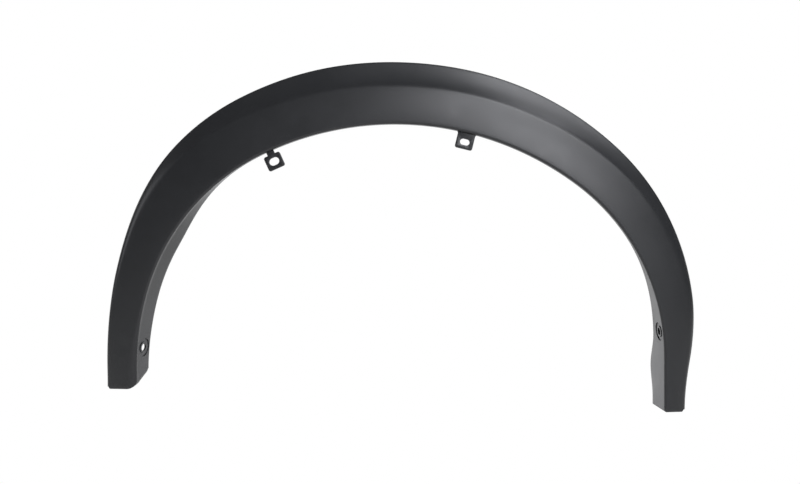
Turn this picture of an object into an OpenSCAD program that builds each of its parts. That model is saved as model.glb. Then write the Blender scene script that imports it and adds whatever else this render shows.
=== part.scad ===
// Wheel arch trim: one moulded shell swept round a wheel opening.
// X runs along the car, Z is up and the visible face looks towards -Y.
// The origin is under the middle of the opening, level with the lower end
// and halfway through the depth.

/* [Inner edge] */
// Distance from the middle of the opening to the inner edge of the left leg
left_leg_x = 370; // [340:1:400]
// Height of the left end above the right end
left_end_rise = 32.2; // [0:0.2:70]
// Length of the straight foot of the left leg
left_foot_straight = 26.5; // [5:0.5:60]
// Radius of the left leg
left_leg_radius = 404; // [345:1:460]
// Angle at which the left leg turns into the left shoulder
left_leg_angle = 164.5; // [152:0.5:172]
// Radius of the left shoulder
left_shoulder_radius = 309; // [270:1:345]
// Angle at which the left shoulder turns into the crown
left_shoulder_angle = 115; // [102:0.5:128]
// Radius of the crown
crown_radius = 428; // [390:1:465]
// Angle at which the crown turns into the right shoulder
right_shoulder_angle = 52.8; // [42:0.2:64]
// Radius of the right shoulder
right_shoulder_radius = 302; // [265:1:335]

/* [Width from inner edge to rim] */
// Width at the left end
width_left_end = 44.3; // [38:0.1:60]
// Width at the left leg
width_left_leg = 55; // [44:0.5:70]
// Width at the left shoulder
width_left_shoulder = 82; // [70:0.5:96]
// Width left of the crown
width_left_crown = 90.5; // [80:0.5:105]
// Width at the crown
width_crown = 90; // [78:0.5:104]
// Width right of the crown
width_right_crown = 87; // [76:0.5:100]
// Width at the right shoulder
width_right_shoulder = 75.3; // [64:0.1:88]
// Width at the right leg
width_right_leg = 55.5; // [42:0.5:66]
// Width at the right end
width_right_end = 33; // [30:1:50]

/* [Band between crease and rim] */
// Band width at the left end
band_left_end = 5; // [4:0.5:9]
// Band width at the left leg
band_left_leg = 8.5; // [6:0.5:13]
// Band width at the left shoulder
band_left_shoulder = 20; // [14:0.5:26]
// Band width left of the crown
band_left_crown = 32.5; // [25:0.5:39]
// Band width at the crown
band_crown = 35.5; // [27:0.5:41]
// Band width right of the crown
band_right_crown = 33; // [26:0.5:39]
// Band width at the right shoulder
band_right_shoulder = 21.5; // [15:0.5:27]
// Band width at the right leg
band_right_leg = 12.5; // [8:0.5:17]
// Band width at the right end
band_right_end = 6; // [4:0.5:9]

/* [Section] */
// Wall thickness of the moulding
wall = 2.5; // [1.8:0.1:3]
// Radius of the fold between the wheel side return and the face
fold_radius = 3.5; // [3.5:0.5:7]
// Width of the fold at the left foot
foot_fold_width = 14; // [8:0.5:16]
// Depth of the fold at the left foot
foot_fold_depth = 7; // [6.5:0.5:9]
// Length of the left leg over which the fold of its foot tapers off
foot_fold_run = 115; // [60:5:150]
// Radius of the crease between the face and the band
crease_radius = 3; // [2:0.5:5]
// Depth of the crease behind the inner edge
crease_depth = 4; // [2:0.5:7]
// Depth of the rim behind the inner edge
rim_depth = 16; // [13:0.5:22]
// Width up to which the band is a plain roll
roll_band = 12; // [9:0.5:14]
// Width from which the band is a full cove
cove_band = 26; // [20:0.5:30]
// Share of the band's width at which a roll turns down
roll_width_share = 0.75; // [0.55:0.05:0.8]
// Share of the band's depth at which a roll turns down
roll_depth_share = 0.2; // [0.1:0.05:0.4]
// Share of the band's width that the steep part of a cove takes
cove_width_share = 0.35; // [0.2:0.05:0.45]
// Share of the band's depth that the steep part of a cove takes
cove_depth_share = 0.62; // [0.54:0.02:0.8]

/* [Wheel side return] */
// Depth of the return over the crown and shoulders
lip_depth = 9; // [8:0.5:12]
// Depth of the return at the left leg
return_depth_left = 35; // [34:1:45]
// Angle by which the left return leans in towards the wheel
return_lean_left = 14; // [0:1:18]
// Length of the left leg with the full return
return_full_left = 210; // [150:5:250]
// Length in which the left return narrows to the lip
return_fade_left = 160; // [80:5:170]
// Depth of the return at the right leg
return_depth_right = 53; // [44:1:60]
// Length of the right leg with the full return
return_full_right = 50; // [45:5:110]
// Length in which the right return narrows to the lip
return_fade_right = 215; // [140:5:230]
// Height of the lug on the back of the right return
lug_height = 9.5; // [0:0.5:14]
// Distance of the middle of the lug from the right end
lug_along = 60; // [50:1:80]
// Half the length of the lug
lug_half_length = 46; // [25:1:50]

/* [Ends] */
// Length of the round corner of the left foot across the face
left_corner_length = 14; // [6:0.5:18]
// Height of that corner on the return
left_corner_height = 9.5; // [5:0.5:14]
// Height of the back of the left return's end above the foot
left_return_rise = 25.8; // [18:0.2:34]
// Height of the small bevel above it
left_return_bevel = 5.2; // [2:0.2:8]
// Distance of the wall that closes a leg above the leg's end
end_wall_setback = 7; // [6:0.5:12]
// Radius of the right leg's lower corner next to the wheel
inner_corner_radius = 4; // [2:0.5:6]
// Radius of each lower corner at the rim
outer_corner_radius = 4; // [2:0.5:5]

/* [Screw holes in the returns] */
// Diameter of a screw hole
hole_d = 10.5; // [6:0.5:12]
// Diameter of the collar round a screw hole
collar_d = 16; // [14:0.5:18]
// Diameter of the recess round the collar
recess_d = 26; // [23:0.5:28]
// Depth of the recess
recess_depth = 1; // [0.5:0.1:1.4]
// Distance of the left hole from the left end
left_hole_along = 56.6; // [50:0.2:80]
// Distance of the left hole behind the inner edge
left_hole_back = 20.3; // [20:0.1:22]
// Distance of the right hole from the right end
right_hole_along = 111.5; // [80:0.5:120]
// Distance of the right hole behind the inner edge
right_hole_back = 19; // [19:1:26]

/* [Tabs] */
// Thickness of the tabs
tab_thickness = 2.5; // [1.8:0.1:3.5]
// Distance of a tab in front of the back of the lip
tab_inset = 1; // [0.5:0.1:2]
// Corner radius of the tabs
tab_corner_radius = 3; // [1.5:0.5:4]
// Distance of the left tab from the left end, along the edge
left_tab_along = 408; // [380:0.5:430]
// Length of the left tab along the edge
left_tab_length = 24.5; // [20:0.5:28]
// Height of the left tab below its neck
left_tab_height = 21.5; // [18:0.5:26]
// Width of the neck of the left tab
left_neck_width = 11; // [8:0.5:13]
// Length of the neck of the left tab
left_neck_length = 5; // [3:0.5:8]
// Length of the slot in the left tab
left_slot_length = 14.2; // [13:0.1:15.5]
// Width of the slot in the left tab
left_slot_width = 10.6; // [8:0.1:12.8]
// Distance of the right tab from the left end, along the edge
right_tab_along = 692; // [670:1:720]
// Length of the right tab along the edge
right_tab_length = 25; // [22:0.5:30]
// Height of the right tab below the edge
right_tab_height = 23; // [20:0.5:27]
// Fillet between the right tab and the edge
right_tab_fillet = 3; // [1:0.5:5]
// Length of the slot in the right tab
right_slot_length = 13.6; // [12:0.1:16]
// Width of the slot in the right tab
right_slot_width = 8.6; // [7:0.1:12]
// Distance from the lower edge of the left tab to the middle of its slot
left_slot_up = 11; // [9:0.5:12.5]
// Distance from the lower edge of the right tab to the middle of its slot
right_slot_up = 10; // [8.5:0.5:12]

/* [Clip towers behind the face] */
// Length of a tower along the edge
tower_length = 22; // [18:1:28]
// Width of a tower across the face
tower_width = 15; // [13:0.5:17]
// Thickness of the tower walls
tower_wall = 1.6; // [1.2:0.1:2]
// Thickness of the clip seat on a tower
seat_thickness = 2; // [1.5:0.1:2.5]
// Distance of the clip seats in front of the rim's depth
seat_setback = 1; // [0:0.5:3]
// Width of the slot that a clip slides into
clip_slot_width = 6; // [5:0.5:7]
// Diameter of the round end of the clip slot
clip_hole_d = 8; // [7.5:0.5:9]
// Distance of the left leg's tower from the left end
left_leg_tower_along = 58; // [40:0.5:80]
// Distance of that tower out from the inner edge
left_leg_tower_out = 18.5; // [16:0.5:26]
// Distance of the left shoulder's tower from the left end
left_shoulder_tower_along = 252; // [220:1:290]
// Distance of that tower out from the inner edge
left_shoulder_tower_out = 24; // [16:0.5:40]
// Distance of the left crown's tower from the left end
left_crown_tower_along = 462; // [440:1:500]
// Distance of that tower out from the inner edge
left_crown_tower_out = 28; // [16:0.5:42]
// Distance of the right crown's tower from the left end
right_crown_tower_along = 674; // [640:1:710]
// Distance of that tower out from the inner edge
right_crown_tower_out = 27; // [16:0.5:42]
// Distance of the right shoulder's tower from the left end
right_shoulder_tower_along = 799; // [770:1:840]
// Distance of that tower out from the inner edge
right_shoulder_tower_out = 17; // [16:0.5:35]
// Distance of the right leg's tower from the right end
right_leg_tower_along = 157; // [140:1:190]
// Distance of that tower out from the inner edge
right_leg_tower_out = 14; // [13.5:0.5:24]
// Distance of the right foot's tower from the right end
right_foot_tower_along = 40; // [30:1:60]
// Distance of that tower out from the inner edge
right_foot_tower_out = 15; // [13.5:0.5:18]

/* [Hidden] */

plastic = "#2c2d2f";
stations = 80;
return_steps = 1;
fold_steps = 5;
face_steps = 5;
crease_steps = 4;
band_steps = 6;
crease_share = 0.12;
corner_steps = 8;
overrun = 2;

WIDTHS = [width_left_end, width_left_leg, width_left_shoulder, width_left_crown, width_crown,
    width_right_crown, width_right_shoulder, width_right_leg, width_right_end];
BANDS = [band_left_end, band_left_leg, band_left_shoulder, band_left_crown, band_crown,
    band_right_crown, band_right_shoulder, band_right_leg, band_right_end];

// Each run of the inner edge is [radius, first angle, last angle]. A straight
// run has equal angles and holds its length in place of a radius. The angle is
// that of the outward normal, from +X towards +Z.
LEFT_START = [-left_leg_x, left_end_rise];
CURVES = [
    [left_foot_straight, 180, 180],
    [left_leg_radius, 180, left_leg_angle],
    [left_shoulder_radius, left_leg_angle, left_shoulder_angle],
    [crown_radius, left_shoulder_angle, right_shoulder_angle],
    [right_shoulder_radius, right_shoulder_angle, 0]
];

function aim(angle) = [cos(angle), sin(angle)];

function run_length(run) = run[1] == run[2] ? run[0] : run[0] * (run[1] - run[2]) * PI / 180;

// [point, angle] at a distance into a run that starts at a point
function run_at(start, run, along) = run[1] == run[2]
    ? [start + along * [sin(run[1]), -cos(run[1])], run[1]]
    : let (angle = run[1] - along / run[0] * 180 / PI)
        [start + run[0] * (aim(angle) - aim(run[1])), angle];

// [start point, distance from the left end] of each run, and of the end
function walk(runs, i, start, along) = i == len(runs)
    ? [[start, along]]
    : let (length = run_length(runs[i]))
        concat([[start, along]], walk(runs, i + 1, run_at(start, runs[i], length)[0], along + length));

STOPS = walk(CURVES, 0, LEFT_START, 0);
LEG_START = STOPS[len(CURVES)];
right_straight = LEG_START[0][1];
RUNS = concat(CURVES, [[right_straight, 0, 0]]);
edge_length = LEG_START[1] + right_straight;

function run_index(along, i) = i == 0 || along >= STOPS[i][1] ? i : run_index(along, i - 1);

// [point, angle] of the inner edge at a distance from the left end
function edge_at(along) = let (i = run_index(along, len(RUNS) - 1))
    run_at(STOPS[i][0], RUNS[i], along - STOPS[i][1]);

// Smooth curve through equally spaced values, level at both ends, for a share
// from 0 to 1
function spline(values, share) = let (
    last = len(values) - 1,
    k = min(floor(share * last), last - 1),
    t = share * last - k,
    p1 = values[k],
    p2 = values[k + 1],
    p0 = k > 0 ? values[k - 1] : p2,
    p3 = k + 2 <= last ? values[k + 2] : p1)
    0.5 * (2 * p1 + (p2 - p0) * t + (2 * p0 - 5 * p1 + 4 * p2 - p3) * t * t
        + (3 * p1 - p0 - 3 * p2 + p3) * t * t * t);

function ease(t) = let (u = max(0, min(1, t))) u * u * (3 - 2 * u);

// Share of the full left return at a distance from the left end
function left_share(along) = 1 - ease((along - return_full_left) / return_fade_left);

// Depth of the return behind the inner edge
function return_depth(along) = let (to_end = edge_length - along) lip_depth
    + (return_depth_left - lip_depth) * left_share(along)
    + (return_depth_right - lip_depth) * (1 - ease((to_end - return_full_right) / return_fade_right))
    + lug_height * (1 - ease(abs(to_end - lug_along) / lug_half_length));

function lean(along) = return_lean_left * left_share(along);

// Width and depth of the fold between the return and the face
function fold_size(along) = let (foot = 1 - ease(along / foot_fold_run))
    fold_radius * [1, 1] * (1 - foot) + [foot_fold_width, foot_fold_depth] * foot;

// Angle at which the fold meets the leaning return
function fold_start(along) = let (size = fold_size(along)) -atan(size[1] / size[0] * tan(lean(along)));

function fold_at(along, angle) = let (size = fold_size(along), turn = [1, 1] - aim(angle))
    [size[0] * turn[0], size[1] * turn[1]];

// Point of the return at a depth
function return_at(along, back) = let (start = fold_at(along, fold_start(along)))
    start + (back - start[1]) * [-tan(lean(along)), 1];

function face_width(along) = spline(WIDTHS, along / edge_length) - spline(BANDS, along / edge_length);

// Depth of the crowned face behind the inner edge, at a distance out from it
function face_depth(out, face, fold) = crease_depth * pow(max(0, out - fold) / (face - fold), 2);

function bend(p0, p1, p2, t) = p0 * pow(1 - t, 2) + p1 * 2 * t * (1 - t) + p2 * t * t;

// Visible skin of one section as [out, back] points, from the back of the
// return, round the fold and over the face and crease to the rim
function skin(along) = let (
    width = spline(WIDTHS, along / edge_length),
    face = face_width(along),
    depth = return_depth(along),
    fold = fold_size(along)[0],
    first = fold_start(along),
    start = fold_at(along, first)[1],
    crease = [face, crease_depth],
    rim = [width, rim_depth],
    cove = ease((width - face - roll_band) / (cove_band - roll_band)),
    steep_width = roll_width_share + (cove_width_share - roll_width_share) * cove,
    steep_depth = roll_depth_share + (cove_depth_share - roll_depth_share) * cove,
    steep = crease + [steep_width * (width - face), steep_depth * (rim_depth - crease_depth)],
    face_end = face - crease_radius,
    before = [face_end, face_depth(face_end, face, fold)],
    after = bend(crease, steep, rim, crease_share))
    concat(
        [for (i = [0 : return_steps]) return_at(along, depth + (start - depth) * i / (return_steps + 1))],
        [for (i = [0 : fold_steps]) fold_at(along, first + (90 - first) * i / fold_steps)],
        [for (i = [1 : face_steps]) let (out = fold + (face_end - fold) * i / face_steps)
            [out, face_depth(out, face, fold)]],
        [for (i = [1 : crease_steps - 1]) bend(before, crease, after, i / crease_steps)],
        [for (i = [0 : band_steps])
            bend(crease, steep, rim, crease_share + (1 - crease_share) * i / band_steps)]);

function unit(v) = v / norm(v);

// Direction into the wall at point i of a skin, scaled so that the wall keeps
// its thickness where the skin turns
function inward(points, i) = let (
    last = len(points) - 1,
    first_step = unit(points[max(i, 1)] - points[max(i, 1) - 1]),
    next_step = unit(points[min(i, last - 1) + 1] - points[min(i, last - 1)]),
    step = unit(first_step + next_step))
    [-step[1], step[0]] / (step * first_step);

function backed(points, thickness) = [for (i = [0 : len(points) - 1]) points[i] + thickness * inward(points, i)];

middle = (return_depth_right + lug_height) / 2;

// Place in space of a point of a section
function placed(along, point) = let (edge = edge_at(along), normal = aim(edge[1]))
    [edge[0][0] + point[0] * normal[0], point[1] - middle, edge[0][1] + point[0] * normal[1]];

// Faces that join equal closed rings of points into a solid, with each end
// closed by strips between the first and second half of its ring
function strip_faces(rings, size) = let (half = size / 2, top = (rings - 1) * size)
    concat(
        [for (r = [0 : rings - 2], i = [0 : size - 1]) let (a = r * size + i, b = r * size + (i + 1) % size)
            each [[a, b + size, a + size], [a, b, b + size]]],
        [for (i = [0 : half - 2]) let (a = i, b = i + 1, c = size - 2 - i, d = size - 1 - i)
            each [[a, c, b], [a, d, c]]],
        [for (i = [0 : half - 2]) let (a = i, b = i + 1, c = size - 2 - i, d = size - 1 - i)
            each [[top + a, top + b, top + c], [top + a, top + c, top + d]]]);

module shell() {
    rings = [for (k = [0 : stations]) let (along = edge_length * k / stations, front = skin(along),
        back = backed(front, wall))
        [for (p = concat(front, [for (i = [len(back) - 1 : -1 : 0]) back[i]])) placed(along, p)]];
    polyhedron(points = [for (ring = rings) each ring], faces = strip_faces(len(rings), len(rings[0])));
}

// Wall that closes a leg's end between the return and the band
module end_wall(along) {
    core = backed(skin(along), wall / 2);
    outline = concat([return_at(along, rim_depth) + [wall / 2, 0]], [for (p = core) if (p[1] < rim_depth) p]);
    size = len(outline);
    mirrored = cos(edge_at(along)[1]) < 0;
    points = [for (level = [0, wall], i = [0 : size - 1])
        let (spot = placed(along, outline[mirrored ? (size - i) % size : i]))
        spot + [0, 0, end_wall_setback + level]];
    lower = [for (i = [0 : size - 1]) i];
    upper = [for (i = [size - 1 : -1 : 0]) size + i];
    sides = [for (i = [0 : size - 1]) let (j = (i + 1) % size) [j, i, size + i, size + j]];
    polyhedron(points = points, faces = concat([lower], sides, [upper]));
}

// Moves its children to a place on the inner edge, with X pointing outwards,
// Y towards the back and Z along the edge towards the left end
module on_edge(along, out = 0, back = 0) {
    edge = edge_at(along);
    translate([edge[0][0], back - middle, edge[0][1]])
        rotate([0, -edge[1], 0])
            translate([out, 0, 0])
                children();
}

// Stands a flat outline up across the edge, its back at Y = 0
module upright(thickness) {
    rotate([90, 0, 0])
        linear_extrude(thickness)
            children();
}

// Round bar along X
module pin_x(d, from, to) {
    translate([from, 0, 0])
        rotate([0, 90, 0])
            cylinder(h = to - from, d = d, $fn = 48);
}

// Outline with rounded corners, from the origin outwards along -X
module rounded_outline(height, length, radius) {
    translate([-height, -length / 2 + radius]) square([height, length - 2 * radius]);
    translate([-height + radius, -length / 2]) square([height - 2 * radius, length]);
    for (x = [-height + radius, -radius], y = [-length / 2 + radius, length / 2 - radius])
        translate([x, y]) circle(r = radius, $fn = 32);
}

// Slot outline, its length along Y
module slot_outline(length, width) {
    translate([-width / 2, -(length - width) / 2]) square([width, length - width]);
    for (side = [-1, 1])
        translate([0, side * (length - width) / 2]) circle(d = width, $fn = 40);
}

module left_tab() {
    plate_top = -left_neck_length;
    on_edge(left_tab_along, 0, lip_depth - tab_inset)
        upright(tab_thickness)
            difference() {
                union() {
                    translate([plate_top, 0])
                        rounded_outline(left_tab_height, left_tab_length, tab_corner_radius);
                    translate([plate_top - overrun, -left_neck_width / 2])
                        square([left_neck_length + overrun + wall * 0.6, left_neck_width]);
                }
                translate([plate_top - left_tab_height + left_slot_up, 0])
                    slot_outline(left_slot_length, left_slot_width);
            }
}

module right_tab() {
    half = right_tab_length / 2;
    inside = wall * 0.6;
    on_edge(right_tab_along, 0, lip_depth - tab_inset)
        upright(tab_thickness)
            difference() {
                union() {
                    rounded_outline(right_tab_height, right_tab_length, tab_corner_radius);
                    translate([-tab_corner_radius, -half])
                        square([tab_corner_radius + inside, right_tab_length]);
                    for (side = [-1, 1])
                        difference() {
                            translate([-right_tab_fillet, side * (half + right_tab_fillet / 2)])
                                translate([0, -right_tab_fillet / 2])
                                    square([right_tab_fillet + inside, right_tab_fillet]);
                            translate([-right_tab_fillet, side * (half + right_tab_fillet)])
                                circle(r = right_tab_fillet, $fn = 40);
                        }
                }
                translate([-right_tab_height + right_slot_up, 0])
                    slot_outline(right_slot_length, right_slot_width);
            }
}

// Recess round a collar on the seen side of a return, and the hole in the collar
module screw_recess(along, back) {
    spot = return_at(along, back);
    on_edge(along, spot[0], spot[1])
        rotate([0, 0, lean(along)]) {
            difference() {
                pin_x(recess_d, -overrun, recess_depth);
                pin_x(collar_d, -2 * overrun, recess_depth + overrun);
            }
            pin_x(hole_d, -overrun, wall + overrun);
        }
}

// Hollow tower that a body clip slides into, open towards the left end
module clip_tower(along, out) {
    base = face_depth(out, face_width(along), fold_size(along)[0]) + wall / 2;
    top = rim_depth - seat_setback;
    on_edge(along, out, 0)
        difference() {
            translate([-tower_width / 2, base, -tower_length / 2])
                cube([tower_width, top - base, tower_length]);
            translate([-tower_width / 2 + tower_wall, base - overrun, -tower_length / 2 + tower_wall])
                cube([tower_width - 2 * tower_wall, top - base - seat_thickness + overrun, tower_length]);
            translate([0, top + overrun, 0])
                rotate([90, 0, 0])
                    cylinder(h = seat_thickness + 2 * overrun, d = clip_hole_d, $fn = 32);
            translate([-clip_slot_width / 2, top - seat_thickness - overrun, 0])
                cube([clip_slot_width, seat_thickness + 2 * overrun, tower_length]);
        }
}

// [distance from the left end, distance out from the inner edge] of each tower
TOWERS = [
    [left_leg_tower_along, left_leg_tower_out],
    [left_shoulder_tower_along, left_shoulder_tower_out],
    [left_crown_tower_along, left_crown_tower_out],
    [right_crown_tower_along, right_crown_tower_out],
    [right_shoulder_tower_along, right_shoulder_tower_out],
    [edge_length - right_leg_tower_along, right_leg_tower_out],
    [edge_length - right_foot_tower_along, right_foot_tower_out]
];

// Runs a flat outline through the whole depth of the moulding
module through() {
    rotate([90, 0, 0])
        translate([0, 0, -middle - overrun])
            linear_extrude(2 * (middle + overrun))
                children();
}

// Cutter that rounds one lower corner of a leg, whose material lies to one side
module corner_cutter(x, z, side, radius) {
    through()
        translate([x, z])
            difference() {
                translate([side > 0 ? -overrun : -radius, -radius - overrun])
                    square([radius + overrun, 2 * radius + overrun]);
                translate([side * radius, radius]) circle(r = radius, $fn = 48);
            }
}

// Cutter that rounds the inner corner of the left foot and, because the return
// leans, slants the end of the return
module left_foot_cutter() {
    foot = edge_at(0)[0];
    turn = [-left_corner_length / 6, left_corner_height / 10];
    curve = [for (i = [0 : corner_steps])
        bend([-left_corner_length, 0], turn, [0, left_corner_height], i / corner_steps)];
    reach = (return_depth_left - foot_fold_depth) * tan(return_lean_left);
    top = left_return_rise + left_return_bevel;
    through()
        translate(foot)
            polygon(concat([[-left_corner_length, -overrun]], curve,
                [[reach, left_return_rise], [reach + 1, top], [reach + overrun, top], [reach + overrun, -overrun]]));
}

module corner_cutters() {
    left = edge_at(0)[0];
    right = edge_at(edge_length)[0];
    left_foot_cutter();
    corner_cutter(left[0] - width_left_end, left[1], 1, outer_corner_radius);
    corner_cutter(right[0], right[1], 1, inner_corner_radius);
    corner_cutter(right[0] + width_right_end, right[1], -1, outer_corner_radius);
}

module arch_trim() {
    color(plastic)
        difference() {
            union() {
                shell();
                end_wall(0);
                end_wall(edge_length);
                left_tab();
                right_tab();
                for (place = TOWERS) clip_tower(place[0], place[1]);
            }
            screw_recess(left_hole_along, left_hole_back);
            screw_recess(edge_length - right_hole_along, right_hole_back);
            corner_cutters();
        }
}

arch_trim();
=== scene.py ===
import math

import bpy
from mathutils import Matrix, Vector


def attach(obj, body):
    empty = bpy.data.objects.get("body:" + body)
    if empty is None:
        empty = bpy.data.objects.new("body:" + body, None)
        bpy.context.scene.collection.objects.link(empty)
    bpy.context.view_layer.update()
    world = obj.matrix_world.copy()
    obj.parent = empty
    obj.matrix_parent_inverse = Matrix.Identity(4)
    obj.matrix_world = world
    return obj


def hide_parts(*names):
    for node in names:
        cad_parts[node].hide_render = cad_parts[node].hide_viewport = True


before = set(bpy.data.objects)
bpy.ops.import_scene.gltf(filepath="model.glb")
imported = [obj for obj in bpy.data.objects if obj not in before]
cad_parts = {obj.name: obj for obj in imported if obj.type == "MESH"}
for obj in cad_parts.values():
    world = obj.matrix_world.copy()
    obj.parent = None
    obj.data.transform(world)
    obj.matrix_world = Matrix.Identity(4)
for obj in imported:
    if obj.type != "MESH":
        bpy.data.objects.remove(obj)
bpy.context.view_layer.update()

MM = 0.001

# Inner edge of the moulding, in millimetres: each run is (radius, first angle,
# last angle) of the outward normal, and a straight run holds its length
LEFT_START = (-370.0, 32.2)
CURVES = [(26.5, 180, 180), (404, 180, 164.5), (309, 164.5, 115), (428, 115, 52.8), (302, 52.8, 0)]
# Width of the section, and of its outer band alone, at even steps from the left foot to the right
WIDTHS = [44.3, 55, 82, 90.5, 90, 87, 75.3, 55.5, 33]
BANDS = [5, 8.5, 20, 32.5, 35.5, 33, 21.5, 12.5, 6]
# Wall, fold as (width, depth), which grows towards the left foot, crease and rim
WALL = 2.5
FOLD, FOOT_FOLD, FOOT_FOLD_RUN = Vector((3.5, 3.5)), Vector((14, 7)), 115
CREASE_RADIUS, CREASE_DEPTH = 3, 4
RIM_DEPTH = 16
# Where the band's curve is steepest, as shares of its width and depth: a wide band is a hollow
# cove, a narrow one rolls over, and the crease takes the first share of the curve
COVE_WIDTH, COVE_DEPTH = 0.35, 0.62
ROLL_WIDTH, ROLL_DEPTH = 0.75, 0.2
ROLL_BAND, COVE_BAND = 12, 26
CREASE_SHARE = 0.12
# Return: a lip over the crown, deeper on each leg, with a bulge on the right one
LIP_DEPTH = 9
RETURN_LEFT, RETURN_RIGHT, LEAN_LEFT = 35, 53, 14
FULL_LEFT, FADE_LEFT = 210, 160
FULL_RIGHT, FADE_RIGHT = 50, 215
LUG_HEIGHT, LUG_ALONG, LUG_HALF = 9.5, 60, 46
END_WALL_SETBACK = 7
# Depth of the object's middle behind its foremost plane
MIDDLE = 31.25
# Edges of the mould, the rounds of the feet and the dents over the clip towers
EDGE_ROUND, TOWER_EDGE_ROUND = 0.4, 0.6
END_ROUND, CORNER_RADIUS = Vector((2.2, 5.5)), 3
SINK_DEPTH, SINK_SIZE = 0.3, 5.5
# Screw places, tabs and clip towers
HOLE_D, COLLAR_D, RECESS_D, RECESS_DEPTH = 10.5, 16, 26, 1
TAB_THICKNESS, TAB_BACK, TAB_CORNER = 2.5, LIP_DEPTH - 1, 3
LEFT_TAB_ALONG, RIGHT_TAB_ALONG = 408, 692
TOWER_HALF_WIDTH, TOWER_HALF_LENGTH, TOWER_WALL, TOWER_TOP = 7.5, 11, 1.6, 2
SEAT_D, SEAT_SLOT_HALF = 8, 3
# Steps of the grid along the edge, and how far a tool reaches past what it cuts or into what it joins
STATIONS = 240
OVER, OVERLAP = 2, 0.5
# Camera: distance from the foremost plane, height, and focal length in pixels of an 800 pixel frame
CAMERA_AWAY, CAMERA_HEIGHT, FOCAL, FRAME = 1073.8, 238.7, 767, 800
LAMP_TARGET, LAMP_AWAY = Vector((0.05, 0, 0.33)), 1.5


def aim(angle):
    """Direction at an angle in degrees."""
    return Vector((math.cos(math.radians(angle)), math.sin(math.radians(angle))))


def run_length(run):
    return run[0] if run[1] == run[2] else run[0] * math.radians(run[1] - run[2])


def run_at(start, run, along):
    if run[1] == run[2]:
        turn = math.radians(run[1])
        return start + along * Vector((math.sin(turn), -math.cos(turn))), run[1]
    angle = run[1] - math.degrees(along / run[0])
    return start + run[0] * (aim(angle) - aim(run[1])), angle


def walk_edge():
    """The runs of the inner edge with where each starts, down to the right end at Z = 0."""
    stops, point, along = [], Vector(LEFT_START), 0.0
    for run in CURVES:
        stops.append((point, along, run))
        point, along = run_at(point, run, run_length(run))[0], along + run_length(run)
    stops.append((point, along, (point.y, 0, 0)))
    return stops, along + point.y


STOPS, EDGE_LENGTH = walk_edge()
# Each hole is (along, depth, height of its collar behind the wall), each tower (along, out)
HOLES = [(56.6, 20.3, 0), (EDGE_LENGTH - 111.5, 19, 1.5)]
TOWERS = [(58, 18.5), (252, 24), (462, 28), (674, 27), (799, 17),
          (EDGE_LENGTH - 157, 14), (EDGE_LENGTH - 40, 15)]


def edge_at(along):
    """(point, angle) of the inner edge at a distance from the left end."""
    start, before, run = [s for s in STOPS if s[1] <= max(along, 0)][-1]
    return run_at(start, run, along - before)


def spline(values, share):
    """Smooth curve through values at even spacing, at a share of the way."""
    last = len(values) - 1
    k = min(int(share * last), last - 1)
    t = share * last - k
    p1, p2 = values[k], values[k + 1]
    p0 = values[k - 1] if k > 0 else p2
    p3 = values[k + 2] if k + 2 <= last else p1
    square, cube = 2 * p0 - 5 * p1 + 4 * p2 - p3, 3 * p1 - p0 - 3 * p2 + p3
    return 0.5 * (2 * p1 + (p2 - p0) * t + square * t * t + cube * t ** 3)


def ease(t):
    """Smooth step from 0 to 1."""
    u = max(0.0, min(1.0, t))
    return u * u * (3 - 2 * u)


def left_share(along):
    """How much of the left leg's return is left at a place: 1 on the leg and 0 on the crown."""
    return 1 - ease((along - FULL_LEFT) / FADE_LEFT)


def return_depth(along):
    """Depth of the return from the face plane to its free edge."""
    left, to_end = (RETURN_LEFT - LIP_DEPTH) * left_share(along), EDGE_LENGTH - along
    right = (RETURN_RIGHT - LIP_DEPTH) * (1 - ease((to_end - FULL_RIGHT) / FADE_RIGHT))
    return LIP_DEPTH + left + right + LUG_HEIGHT * (1 - ease(abs(to_end - LUG_ALONG) / LUG_HALF))


def lean(along):
    return LEAN_LEFT * left_share(along)


def fold_size(along):
    """Width and depth of the fold between the return and the face."""
    return FOLD + (FOOT_FOLD - FOLD) * (1 - ease(along / FOOT_FOLD_RUN))


def fold_start(along):
    """Angle at which the fold meets the leaning return."""
    size = fold_size(along)
    return -math.degrees(math.atan(size.y / size.x * math.tan(math.radians(lean(along)))))


def fold_at(along, angle):
    return fold_size(along) * (Vector((1, 1)) - aim(angle))


def return_at(along, back):
    """Point of the return at a depth."""
    start = fold_at(along, fold_start(along))
    return start + (back - start.y) * Vector((-math.tan(math.radians(lean(along))), 1))


def face_width(along):
    share = along / EDGE_LENGTH
    return spline(WIDTHS, share) - spline(BANDS, share)


def face_depth(out, face, fold):
    """Depth of the crowned face, from the fold out to the crease."""
    return CREASE_DEPTH * (max(0.0, out - fold) / (face - fold)) ** 2


def bend(p0, p1, p2, t):
    """Point of the curve from p0 to p2 that is drawn towards p1."""
    return p0 * (1 - t) ** 2 + p1 * 2 * t * (1 - t) + p2 * t * t


def sink(along, out):
    """Shallow dent that the melt leaves in the face over each clip tower."""
    return sum(SINK_DEPTH * math.exp(-((along - a) ** 2 + (out - o) ** 2) / (2 * SINK_SIZE ** 2))
               for a, o in TOWERS)


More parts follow.
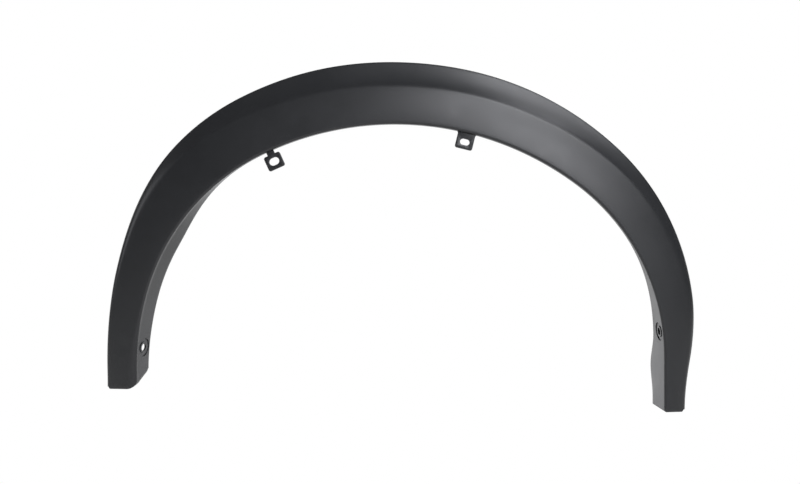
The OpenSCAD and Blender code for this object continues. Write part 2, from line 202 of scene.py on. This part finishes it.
def skin(along):
    """Visible skin of one section as (out, back) points, from the back of the return to the rim."""
    width, face, depth = spline(WIDTHS, along / EDGE_LENGTH), face_width(along), return_depth(along)
    fold, first = fold_size(along).x, fold_start(along)
    crease, rim = Vector((face, CREASE_DEPTH)), Vector((width, RIM_DEPTH))
    cove = ease((width - face - ROLL_BAND) / (COVE_BAND - ROLL_BAND))
    steep_width = ROLL_WIDTH + (COVE_WIDTH - ROLL_WIDTH) * cove
    steep_depth = ROLL_DEPTH + (COVE_DEPTH - ROLL_DEPTH) * cove
    steep = crease + Vector((steep_width * (width - face), steep_depth * (RIM_DEPTH - CREASE_DEPTH)))
    face_end = face - CREASE_RADIUS
    before = Vector((face_end, face_depth(face_end, face, fold)))
    after = bend(crease, steep, rim, CREASE_SHARE)
    start = fold_at(along, first).y
    points = [return_at(along, depth + (start - depth) * i / 8) for i in range(8)]
    points += [fold_at(along, first + (90 - first) * i / 10) for i in range(11)]
    outs = [fold + (face_end - fold) * i / 12 for i in range(1, 13)]
    points += [Vector((out, face_depth(out, face, fold) + sink(along, out))) for out in outs]
    points += [bend(before, crease, after, i / 6) for i in range(1, 6)]
    points += [bend(crease, steep, rim, CREASE_SHARE + (1 - CREASE_SHARE) * i / 12) for i in range(13)]
    return points


def placed(along, point):
    """Place in metres of an (out, back) point of one section."""
    place, angle = edge_at(along)
    spot = place + point.x * aim(angle)
    return Vector((spot.x, point.y - MIDDLE, spot.y)) * MM


def deselect():
    bpy.ops.object.select_all(action="DESELECT")


def pick(*pieces):
    deselect()
    for piece in pieces:
        piece.select_set(True)
    bpy.context.view_layer.objects.active = pieces[0]


def added(name):
    piece = bpy.context.object
    piece.name = piece.data.name = name
    return piece


def modify(piece, kind, **settings):
    """Adds a modifier, sets it and applies it."""
    pick(piece)
    modifier = piece.modifiers.new(kind.lower(), kind)
    for key, value in settings.items():
        setattr(modifier, key, value)
    bpy.ops.object.modifier_apply(modifier=modifier.name)


def soften(piece, width, angle=50):
    """Bevels the edges that are sharper than an angle."""
    limit = math.radians(angle)
    modify(piece, "BEVEL", width=width * MM, segments=2, limit_method="ANGLE", angle_limit=limit)


def combine(piece, tool, operation):
    modify(piece, "BOOLEAN", operation=operation, solver="EXACT", object=tool)
    bpy.data.objects.remove(tool)


def joined(pieces, name):
    pick(*pieces)
    bpy.ops.object.join()
    return added(name)


def on_edge(piece, along, out=0.0, back=0.0):
    """Puts a piece, made with X outwards, Y to the back and Z to the left end, on the inner edge."""
    place, angle = edge_at(along)
    spot = Vector((place.x, back - MIDDLE, place.y)) * MM
    turn = Matrix.Rotation(math.radians(-angle), 4, "Y")
    piece.data.transform(Matrix.Translation(spot) @ turn @ Matrix.Translation((out * MM, 0, 0)))
    return piece


def on_return(piece, along, back):
    """Puts a piece, made with X into the wall, on the return's seen side at a depth."""
    piece.data.transform(Matrix.Rotation(math.radians(lean(along)), 4, "Z"))
    return on_edge(piece, along, *return_at(along, back))


def prism(name, corners, shift):
    """Solid between a flat outline and the same outline shifted, in metres."""
    deselect()
    bpy.ops.mesh.primitive_circle_add(vertices=len(corners), radius=1, fill_type="NGON")
    piece = added(name)
    for vertex, corner in zip(piece.data.vertices, corners):
        vertex.co = corner
    bpy.ops.object.mode_set(mode="EDIT")
    bpy.ops.mesh.select_all(action="SELECT")
    bpy.ops.mesh.extrude_region_move(TRANSFORM_OT_translate={"value": shift})
    bpy.ops.mesh.select_all(action="SELECT")
    bpy.ops.mesh.normals_make_consistent(inside=False)
    bpy.ops.object.mode_set(mode="OBJECT")
    return piece


def plate(name, outline, thickness):
    """Flat plate of an (x, z) outline in mm, its back at Y = 0."""
    corners = [Vector((x, -thickness, z)) * MM for x, z in outline]
    return prism(name, corners, (0, thickness * MM, 0))


def block(name, low, high):
    """Box between two corners in mm."""
    deselect()
    low, high = Vector(low) * MM, Vector(high) * MM
    bpy.ops.mesh.primitive_cube_add(size=1)
    piece = added(name)
    piece.data.transform(Matrix.Translation((low + high) / 2) @ Matrix.Diagonal((*(high - low), 1)))
    return piece


def pin(name, d, start, end, axis="X", sides=64):
    """Round bar of a diameter along X or Y, in mm."""
    deselect()
    bpy.ops.mesh.primitive_cylinder_add(vertices=sides, radius=d / 2 * MM, depth=(end - start) * MM)
    piece = added(name)
    turn = Matrix.Rotation(math.radians(90), 4, "Y" if axis == "X" else "X")
    middle = (start + end) / 2 * MM
    shift = (middle, 0, 0) if axis == "X" else (0, middle, 0)
    piece.data.transform(Matrix.Translation(shift) @ turn)
    return piece


def arc_points(x, z, r, first, last, steps):
    return [(x + r * math.cos(math.radians(a)), z + r * math.sin(math.radians(a)))
            for a in [first + (last - first) * i / steps for i in range(steps + 1)]]


def make_shell():
    """Flat grid laid along the edge and formed to the section, then thickened to the wall."""
    deselect()
    alongs = [EDGE_LENGTH * i / STATIONS for i in range(STATIONS + 1)]
    sections = [skin(along) for along in alongs]
    rows = len(sections[0]) - 1
    bpy.ops.mesh.primitive_grid_add(x_subdivisions=STATIONS, y_subdivisions=rows, size=2)
    shell = added("shell")
    for vertex in shell.data.vertices:
        i, j = round((vertex.co.x + 1) / 2 * STATIONS), round((vertex.co.y + 1) / 2 * rows)
        vertex.co = placed(alongs[i], sections[i][j])
    middle = shell.data.polygons[len(shell.data.polygons) // 2]
    if middle.normal.y > 0:
        shell.data.flip_normals()
    modify(shell, "SOLIDIFY", thickness=WALL * MM, offset=-1, use_even_offset=True, use_rim=True)
    soften(shell, EDGE_ROUND, 60)
    return shell


def make_end_wall(along):
    """Wall that closes a leg's lower end between the return and the band."""
    points = skin(along)
    inner = []
    for i, p in enumerate(points):
        a, b = points[max(i - 1, 0)], points[min(i + 1, len(points) - 1)]
        step = (b - a).normalized()
        inner.append(p + WALL / 2 * Vector((-step.y, step.x)))
    outline = [return_at(along, RIM_DEPTH) + Vector((WALL / 2, 0))] + [p for p in inner if p.y < RIM_DEPTH]
    corners = [placed(along, point) + Vector((0, 0, END_WALL_SETBACK)) * MM for point in outline]
    return prism("end_wall", corners, (0, 0, WALL * MM))


def slot_points(x, length, width):
    """Outline of a slot with round ends that runs along the edge."""
    half = (length - width) / 2
    return arc_points(x, half, width / 2, 0, 180, 16) + arc_points(x, -half, width / 2, 180, 360, 16)


def finish_tab(outline, slot, along):
    """Plate with its slot cut and its edges rounded, put under the lip."""
    tab, hole = plate("tab", outline, TAB_THICKNESS), plate("slot", slot, 4 * TAB_THICKNESS)
    hole.data.transform(Matrix.Translation((0, 2 * OVER * MM, 0)))
    combine(tab, hole, "DIFFERENCE")
    soften(tab, EDGE_ROUND)
    return on_edge(tab, along, 0, TAB_BACK)


def make_left_tab():
    """Square tab on a narrow neck, with a slot along the edge."""
    neck, neck_half, root, height, half, r = 5, 5.5, 1.5, 21.5, 12.25, TAB_CORNER
    foot, top = -neck - height, -neck
    outline = arc_points(foot + r, half - r, r, 180, 90, 6) + arc_points(top - r, half - r, r, 90, 0, 6)
    outline += [(top, neck_half), (root, neck_half), (root, -neck_half), (top, -neck_half)]
    outline += arc_points(top - r, -half + r, r, 0, -90, 6)
    outline += arc_points(foot + r, -half + r, r, -90, -180, 6)
    return finish_tab(outline, slot_points(foot + 11, 14.2, 10.6), LEFT_TAB_ALONG)


def make_right_tab():
    """Tab that widens into the lip with a fillet on each side."""
    root, height, half, r, fillet = 1.5, 23, 12.5, TAB_CORNER, 3
    outline = arc_points(-height + r, half - r, r, 180, 90, 6)
    outline += arc_points(-fillet, half + fillet, fillet, -90, 0, 6)
    outline += [(root, half + fillet), (root, -half - fillet)]
    outline += arc_points(-fillet, -half - fillet, fillet, 0, 90, 6)
    outline += arc_points(-height + r, -half + r, r, -90, -180, 6)
    return finish_tab(outline, slot_points(-height + 10, 13.6, 8.6), RIGHT_TAB_ALONG)


def make_tower():
    """Hollow clip tower, open at one end, with a keyhole seat on top."""
    wide, half, top = TOWER_HALF_WIDTH, TOWER_HALF_LENGTH, RIM_DEPTH - 1
    inside, under = wide - TOWER_WALL, top - TOWER_TOP
    tower = block("clip_tower", (-wide, 0, -half), (wide, top, half))
    soften(tower, TOWER_EDGE_ROUND)
    slot = SEAT_SLOT_HALF
    for tool in [block("cavity", (-inside, -OVER, -half + TOWER_WALL), (inside, under, half + OVER)),
                 pin("seat_hole", SEAT_D, under - OVER, top + OVER, "Y", 32),
                 block("seat_slot", (-slot, under - OVER, 0), (slot, top + OVER, half + OVER))]:
        combine(tower, tool, "DIFFERENCE")
    return tower


def make_towers():
    """Copies of the clip tower whose feet reach into the crowned face."""
    model = make_tower()
    towers = []
    for along, out in TOWERS:
        tower = model.copy()
        tower.data = model.data.copy()
        bpy.context.collection.objects.link(tower)
        base = face_depth(out, face_width(along), fold_size(along).x) + WALL / 2
        for vertex in tower.data.vertices:
            if vertex.co.y < 2 * MM:
                vertex.co.y += base * MM
        towers.append(on_edge(tower, along, out, 0))
    bpy.data.objects.remove(model)
    return towers


def make_screw_places(shell):
    """In each return a round recess round a collar, which may go on behind the wall, and a hole."""
    for along, back, rear in HOLES:
        ring = pin("recess", RECESS_D, -OVER, RECESS_DEPTH)
        combine(ring, pin("collar", COLLAR_D, -2 * OVER, RECESS_DEPTH + OVER), "DIFFERENCE")
        combine(shell, on_return(ring, along, back), "DIFFERENCE")
        if rear:
            collar = pin("rear_collar", COLLAR_D, WALL - OVERLAP, WALL + rear)
            combine(shell, on_return(collar, along, back), "UNION")
        combine(shell, on_return(pin("hole", HOLE_D, -OVER, WALL + rear + OVER), along, back), "DIFFERENCE")


def corner_tool(x, z, side, r):
    """Prism that leaves a round of radius r at a lower corner whose material lies to one side."""
    tool = block("corner", (min(x, x + side * r) - (OVER if side > 0 else 0), -60, z - OVER),
                 (max(x, x + side * r) + (OVER if side < 0 else 0), 60, z + r))
    rod = pin("rod", 2 * r, -70, 70, "Y", 64)
    rod.data.transform(Matrix.Translation(Vector((x + side * r, 0, z + r)) * MM))
    combine(tool, rod, "DIFFERENCE")
    return tool


def follow_band(tool, side, band):
    """Moves a corner's tool with the slanted band: inwards by the band's width from the rim to the crease."""
    rim = (RIM_DEPTH - MIDDLE) * MM
    for vertex in tool.data.vertices:
        vertex.co.x += side * band / (RIM_DEPTH - CREASE_DEPTH) * (rim - vertex.co.y)
    return tool


def end_tool(x, width, z):
    """Bar that rounds the face over at a leg's lower end and follows the face back to the crease."""
    low, high = min(x, x + width) - 4 * OVER, max(x, x + width) + 4 * OVER
    tool = block("end_round", (low, -MIDDLE - OVER, z - OVER), (high, END_ROUND.x - MIDDLE, z + END_ROUND.y))
    rod = pin("rod", 2, low - OVER, high + OVER)
    rod.data.transform(Matrix.Translation(Vector((0, END_ROUND.x - MIDDLE, z + END_ROUND.y)) * MM)
                       @ Matrix.Diagonal((1, END_ROUND.x, END_ROUND.y, 1)))
    combine(tool, rod, "DIFFERENCE")
    for vertex in tool.data.vertices:
        share = (vertex.co.x / MM - x) / width
        vertex.co.y += (share * CREASE_DEPTH - 1) * MM
    return tool


def left_foot_tool(x, z):
    """Prism that trims the left foot's corner and, as the return leans, slants the return's end."""
    length, height = 14, 9.5
    start, end = Vector((x - length, z)), Vector((x, z + height))
    pull = Vector((x - 2.33, z + 0.95))
    outline = [(start.x, z - OVER)] + [tuple(bend(start, pull, end, i / 12)) for i in range(13)]
    outline += [(x + 7, z + 25.8), (x + 8, z + 31), (x + 20, z + 31), (x + 20, z - OVER)]
    tool = plate("foot_corner", outline, 140)
    tool.data.transform(Matrix.Translation((0, 70 * MM, 0)))
    return tool


def round_corners(shell):
    """Trims the left foot and rounds the corners and lower face edges of both feet."""
    left, right = edge_at(0)[0], edge_at(EDGE_LENGTH)[0]
    combine(shell, left_foot_tool(left.x, left.y), "DIFFERENCE")
    for x, z, side, band in [(left.x - WIDTHS[0], left.y, 1, BANDS[0]), (right.x, right.y, 1, 0),
                             (right.x + WIDTHS[-1], right.y, -1, BANDS[-1])]:
        combine(shell, follow_band(corner_tool(x, z, side, CORNER_RADIUS), side, band), "DIFFERENCE")
    combine(shell, end_tool(left.x, -WIDTHS[0], left.y), "DIFFERENCE")
    combine(shell, end_tool(right.x, WIDTHS[-1], right.y), "DIFFERENCE")


def make_moulding():
    """The whole moulding as one closed piece."""
    shell = make_shell()
    walls = joined([make_end_wall(0), make_end_wall(EDGE_LENGTH)], "end_walls")
    combine(shell, walls, "UNION")
    make_screw_places(shell)
    round_corners(shell)
    combine(shell, joined([make_left_tab(), make_right_tab()], "tabs"), "UNION")
    combine(shell, joined(make_towers(), "towers"), "UNION")
    shell.name = shell.data.name = "arch_moulding"
    pick(shell)
    bpy.ops.object.mode_set(mode="EDIT")
    bpy.ops.mesh.select_all(action="SELECT")
    bpy.ops.mesh.remove_doubles(threshold=0.00001)
    bpy.ops.object.mode_set(mode="OBJECT")
    bpy.ops.object.shade_smooth_by_angle(angle=math.radians(32))
    return shell


def linear(hex_colour):
    """sRGB hex to linear RGBA."""
    values = [int(hex_colour[i:i + 2], 16) / 255 for i in (1, 3, 5)]
    return tuple([v / 12.92 if v <= 0.04045 else ((v + 0.055) / 1.055) ** 2.4 for v in values] + [1.0])


def add_node(tree, kind, settings=None, links=None):
    """Adds a node, sets its properties and inputs by name or index, and links outputs into it."""
    node = tree.nodes.new(kind)
    for key, value in (settings or {}).items():
        if isinstance(key, str) and hasattr(node, key):
            setattr(node, key, value)
        else:
            node.inputs[key].default_value = value
    for key, (source, output) in (links or {}).items():
        tree.links.new(source.outputs[output], node.inputs[key])
    return node


def moulded_polypropylene(name, roughness, grain):
    """Unpainted polypropylene, injection moulded against a spark-eroded tool: dark grey, matt, with
    a fine even grain and a slightly cloudy sheen where the melt flowed."""
    material = bpy.data.materials.new(name)
    material.use_nodes = True
    tree = material.node_tree
    shader = tree.nodes["Principled BSDF"]
    shader.inputs["IOR"].default_value = 1.49
    where = add_node(tree, "ShaderNodeTexCoord")
    # Flow clouds some 60 mm across change the colour and sheen a little
    clouds = add_node(tree, "ShaderNodeTexNoise", {"Scale": 16.0, "Detail": 3.0, "Roughness": 0.55},
                      {"Vector": (where, "Object")})
    greys = {"data_type": "RGBA", 6: linear("#232426"), 7: linear("#28292b")}
    colour = add_node(tree, "ShaderNodeMix", greys, {0: (clouds, "Fac")})
    tree.links.new(colour.outputs[2], shader.inputs["Base Color"])
    spread = {"From Min": 0.3, "From Max": 0.7, "To Min": roughness - 0.03, "To Max": roughness + 0.03}
    sheen = add_node(tree, "ShaderNodeMapRange", spread, {"Value": (clouds, "Fac")})
    tree.links.new(sheen.outputs["Result"], shader.inputs["Roughness"])
    # The real grain is 0.3 mm across; it is drawn at 1.2 mm so that it shows
    pits = add_node(tree, "ShaderNodeTexNoise", {"Scale": 850.0, "Detail": 2.0},
                    {"Vector": (where, "Object")})
    bump = add_node(tree, "ShaderNodeBump", {"Strength": grain, "Distance": 0.0002},
                    {"Height": (pits, "Fac")})
    tree.links.new(bump.outputs["Normal"], shader.inputs["Normal"])
    return material


moulding = make_moulding()
moulding.data.materials.clear()
moulding.data.materials.append(moulded_polypropylene("moulded_polypropylene", 0.36, 0.25))
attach(moulding, "root")
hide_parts("arch_trim")


def white_seen(name, lit):
    """Stage material that the camera and reflections see as white, and other light as its colour."""
    material = bpy.data.materials.new(name)
    material.use_nodes = True
    tree = material.node_tree
    tree.nodes.clear()
    path = add_node(tree, "ShaderNodeLightPath")
    first = add_node(tree, "ShaderNodeMath", {"operation": "MAXIMUM"},
                     {0: (path, "Is Camera Ray"), 1: (path, "Is Glossy Ray")})
    shown = add_node(tree, "ShaderNodeMath", {"operation": "MAXIMUM"},
                     {0: (first, 0), 1: (path, "Is Transmission Ray")})
    paper = add_node(tree, "ShaderNodeBsdfDiffuse", {"Color": linear(lit)})
    glow = add_node(tree, "ShaderNodeEmission", {"Color": linear("#ffffff"), "Strength": 1.0})
    mixed = add_node(tree, "ShaderNodeMixShader", {}, {0: (shown, 0), 1: (paper, 0), 2: (glow, 0)})
    add_node(tree, "ShaderNodeOutputMaterial", {}, {"Surface": (mixed, 0)})
    return material


def make_stage():
    """Floor well below the part, which hangs on its mount, and a wall behind it."""
    deselect()
    bpy.ops.mesh.primitive_plane_add(size=12, location=(0, 0, -0.35))
    floor = added("studio_floor")
    floor.data.materials.append(white_seen("pale_floor", "#e8e8e8"))
    deselect()
    bpy.ops.mesh.primitive_plane_add(size=8, location=(0, 3.2, 2.5), rotation=(math.radians(90), 0, 0))
    wall = added("studio_wall")
    wall.data.materials.append(white_seen("pale_wall", "#e8e8e8"))


def light(name, turn, height, size, power):
    """Square softbox aimed at the crown, turned to the right of the camera and raised, in degrees."""
    lamp = bpy.data.lights.new(name, "AREA")
    lamp.shape, lamp.size, lamp.energy, lamp.color = "SQUARE", size, power, linear("#f9faff")[:3]
    holder = bpy.data.objects.new(name, lamp)
    bpy.context.collection.objects.link(holder)
    turn, height = math.radians(turn), math.radians(height)
    away = Vector((math.sin(turn) * math.cos(height), -math.cos(turn) * math.cos(height), math.sin(height)))
    holder.location = LAMP_TARGET + LAMP_AWAY * away
    holder.rotation_euler = (-away).to_track_quat("-Z", "Y").to_euler()
    holder.visible_camera = False


def make_world():
    """Dim even light from all round, which the camera sees as white."""
    world = bpy.data.worlds.new("studio")
    bpy.context.scene.world = world
    world.use_nodes = True
    tree = world.node_tree
    tree.nodes.clear()
    path = add_node(tree, "ShaderNodeLightPath")
    room = add_node(tree, "ShaderNodeBackground", {"Color": linear("#ffffff"), "Strength": 0.135})
    white = add_node(tree, "ShaderNodeBackground", {"Color": linear("#ffffff"), "Strength": 1.0})
    mixed = add_node(tree, "ShaderNodeMixShader", {},
                     {0: (path, "Is Camera Ray"), 1: (room, 0), 2: (white, 0)})
    add_node(tree, "ShaderNodeOutputWorld", {}, {"Surface": (mixed, 0)})


def make_camera():
    """Camera straight in front of the opening."""
    camera = bpy.data.cameras.new("camera")
    camera.sensor_width = 36
    camera.lens = camera.sensor_width * FOCAL / FRAME
    holder = bpy.data.objects.new("camera", camera)
    bpy.context.collection.objects.link(holder)
    holder.location = (0, -(CAMERA_AWAY + MIDDLE) * MM, CAMERA_HEIGHT * MM)
    holder.rotation_euler = (math.radians(90), 0, 0)
    bpy.context.scene.camera = holder


make_stage()
make_world()
make_camera()
light("key_low", 19, 12, 0.3, 5.5)
light("key_high", 25, 36, 0.35, 7)
light("key_left", 10, 24, 0.3, 3)
light("key_right", 40, 28, 0.3, 2.6)
light("high_side", 55, 50, 0.4, 3)
light("left_fill", -75, 10, 0.6, 2)
light("low_back", 140, -20, 0.5, 1.4)
light("rear_soft", 170, 35, 0.8, 4)
light("low_rear", -172, -18, 0.5, 0.8)
bpy.context.scene.view_settings.view_transform = "Standard"
